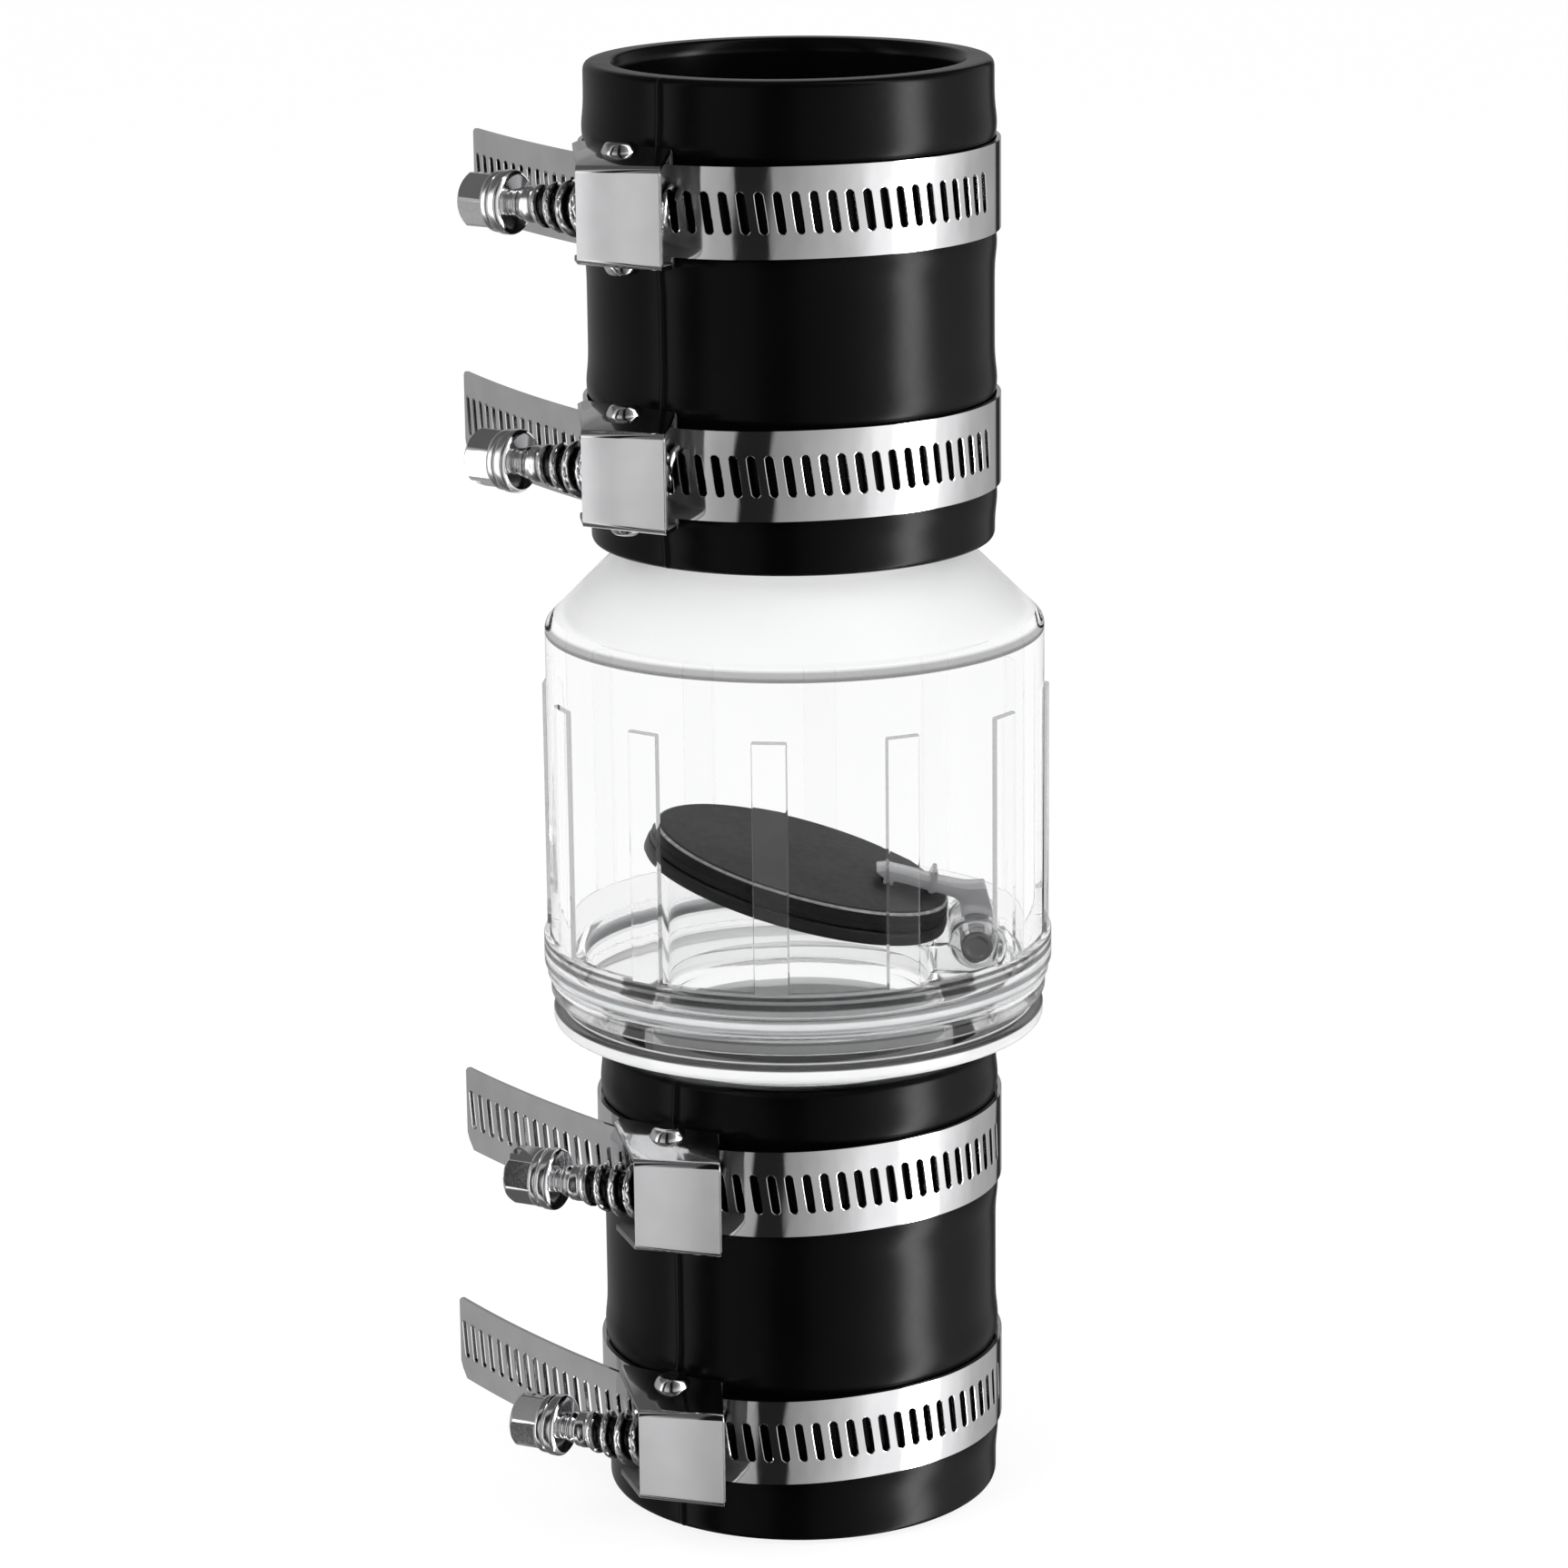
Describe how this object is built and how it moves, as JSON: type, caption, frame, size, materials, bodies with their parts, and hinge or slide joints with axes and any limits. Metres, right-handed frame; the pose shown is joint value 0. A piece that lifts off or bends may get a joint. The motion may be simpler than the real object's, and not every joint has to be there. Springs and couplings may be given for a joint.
{
  "type": "sump pump non-return valve",
  "caption": "In-line non-return valve: a clear chamber with a hinged flap on a slanted seat, and a rubber coupling with worm-drive clamps at each end.",
  "frame": {"origin": "on the valve's axis, at the inlet end: the centre of the lower coupling's end face, which is where the pump's pipe goes in", "axes": "+Z along the valve's axis, the way the water flows; -Y towards the side with the clamp housings; +X towards the flap's hinge"},
  "size_m": [0.0894, 0.0755, 0.212],
  "materials": {
    "black_rubber": "satin",
    "clear_plastic": "clear and glossy",
    "smoke_plastic": "translucent",
    "silicone": "satin",
    "pin_plastic": "satin",
    "flap_plastic": "satin",
    "stainless_strip": "polished",
    "stainless_housing": "satin",
    "plated_screw": "bright"
  },
  "bodies": {
    "valve": {"inlet_coupling": "black_rubber", "outlet_coupling": "black_rubber", "chamber": "clear_plastic", "base": "clear_plastic", "seal_ring": "silicone", "hinge_pin": "pin_plastic", "outlet_end_clamp_band": "stainless_strip", "outlet_end_clamp_housing": "stainless_housing", "outlet_neck_clamp_band": "stainless_strip", "outlet_neck_clamp_housing": "stainless_housing", "inlet_neck_clamp_band": "stainless_strip", "inlet_neck_clamp_housing": "stainless_housing", "inlet_end_clamp_band": "stainless_strip", "inlet_end_clamp_housing": "stainless_housing"},
    "flap": {"flap_facing": "black_rubber", "flap_disc": "flap_plastic", "hinge_arm": "smoke_plastic"},
    "outlet_end_clamp_screw": {"outlet_end_clamp_screw": "plated_screw"},
    "outlet_neck_clamp_screw": {"outlet_neck_clamp_screw": "plated_screw"},
    "inlet_neck_clamp_screw": {"inlet_neck_clamp_screw": "plated_screw"},
    "inlet_end_clamp_screw": {"inlet_end_clamp_screw": "plated_screw"}
  },
  "joints": [
    {"name": "flap_hinge", "type": "hinge", "parent": "valve", "child": "flap", "pos_m": [0.026, 0, 0.08352], "axis": [0, 1, 0], "range_deg": [0, 45]},
    {"name": "outlet_end_clamp_screw_turn", "type": "hinge", "parent": "valve", "child": "outlet_end_clamp_screw", "pos_m": [-0.02062, -0.02945, 0.1944], "axis": [-0.8192, 0.5736, 0], "continuous": true},
    {"name": "outlet_neck_clamp_screw_turn", "type": "hinge", "parent": "valve", "child": "outlet_neck_clamp_screw", "pos_m": [-0.02062, -0.02945, 0.158], "axis": [-0.8192, 0.5736, 0], "continuous": true},
    {"name": "inlet_neck_clamp_screw_turn", "type": "hinge", "parent": "valve", "child": "inlet_neck_clamp_screw", "pos_m": [-0.01548, -0.03245, 0.054], "axis": [-0.9026, 0.4305, 0], "continuous": true},
    {"name": "inlet_end_clamp_screw_turn", "type": "hinge", "parent": "valve", "child": "inlet_end_clamp_screw", "pos_m": [-0.01548, -0.03245, 0.0162], "axis": [-0.9026, 0.4305, 0], "continuous": true}
  ]
}
